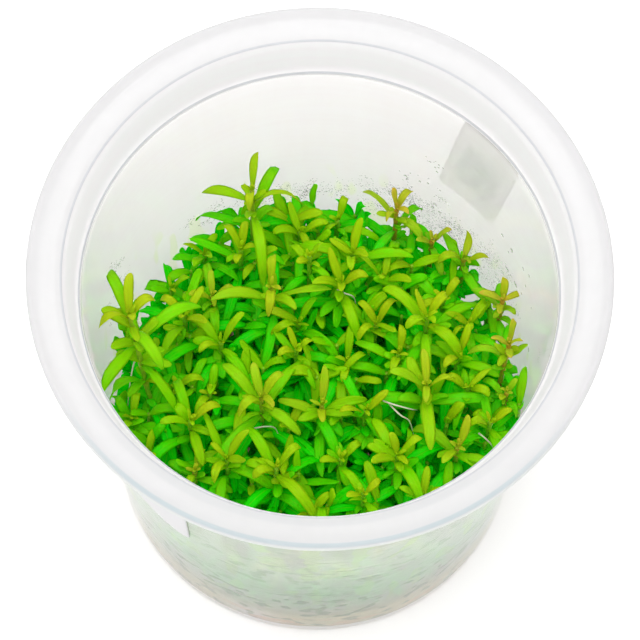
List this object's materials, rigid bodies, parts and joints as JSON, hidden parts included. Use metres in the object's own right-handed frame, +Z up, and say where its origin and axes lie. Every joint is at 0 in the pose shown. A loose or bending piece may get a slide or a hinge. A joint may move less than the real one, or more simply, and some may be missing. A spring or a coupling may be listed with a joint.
{
  "type": "tissue culture cup of rotala",
  "caption": "Open milky-clear plastic cup of rotala plantlets with narrow opposite leaves, rooted in a layer of nutrient gel, with bare labels on its wall.",
  "frame": {"origin": "bottom centre of the cup, on the surface that it stands on", "axes": "+Z up along the cup's axis; -Y is the side that faces the viewer"},
  "size_m": [0.1, 0.1, 0.09],
  "materials": {
    "cup_plastic": "milky-clear moulded polypropylene, slightly frosted",
    "gel": "clear, faintly yellow jelly",
    "label_paper": "plain matte paper, bare",
    "undergrowth": "soft leaves in deep green shade",
    "rotala": "soft, slightly glossy yellow-green leaves"
  },
  "bodies": {
    "root": {"cup": "cup_plastic", "gel": "gel", "undergrowth": "undergrowth", "label_back": "label_paper", "label_front": "label_paper", "plantlet_01": "rotala", "plantlet_02": "rotala", "plantlet_03": "rotala", "plantlet_04": "rotala", "plantlet_05": "rotala", "plantlet_06": "rotala", "plantlet_07": "rotala", "plantlet_08": "rotala", "plantlet_09": "rotala", "plantlet_10": "rotala", "plantlet_11": "rotala", "plantlet_12": "rotala", "plantlet_13": "rotala", "plantlet_14": "rotala", "plantlet_15": "rotala", "plantlet_16": "rotala", "plantlet_17": "rotala", "plantlet_18": "rotala", "plantlet_19": "rotala", "plantlet_20": "rotala", "plantlet_21": "rotala", "plantlet_22": "rotala", "plantlet_23": "rotala", "plantlet_24": "rotala", "plantlet_25": "rotala", "plantlet_26": "rotala", "plantlet_27": "rotala", "plantlet_28": "rotala", "plantlet_29": "rotala", "plantlet_30": "rotala", "plantlet_31": "rotala", "plantlet_32": "rotala", "plantlet_33": "rotala", "plantlet_34": "rotala", "plantlet_35": "rotala", "plantlet_36": "rotala", "plantlet_37": "rotala", "plantlet_38": "rotala", "plantlet_39": "rotala", "plantlet_40": "rotala", "plantlet_41": "rotala", "plantlet_42": "rotala", "plantlet_43": "rotala", "plantlet_44": "rotala", "plantlet_45": "rotala", "plantlet_46": "rotala", "plantlet_47": "rotala", "plantlet_48": "rotala", "plantlet_49": "rotala", "plantlet_50": "rotala", "plantlet_51": "rotala", "plantlet_52": "rotala", "plantlet_53": "rotala", "plantlet_54": "rotala"}
  },
  "joints": []
}
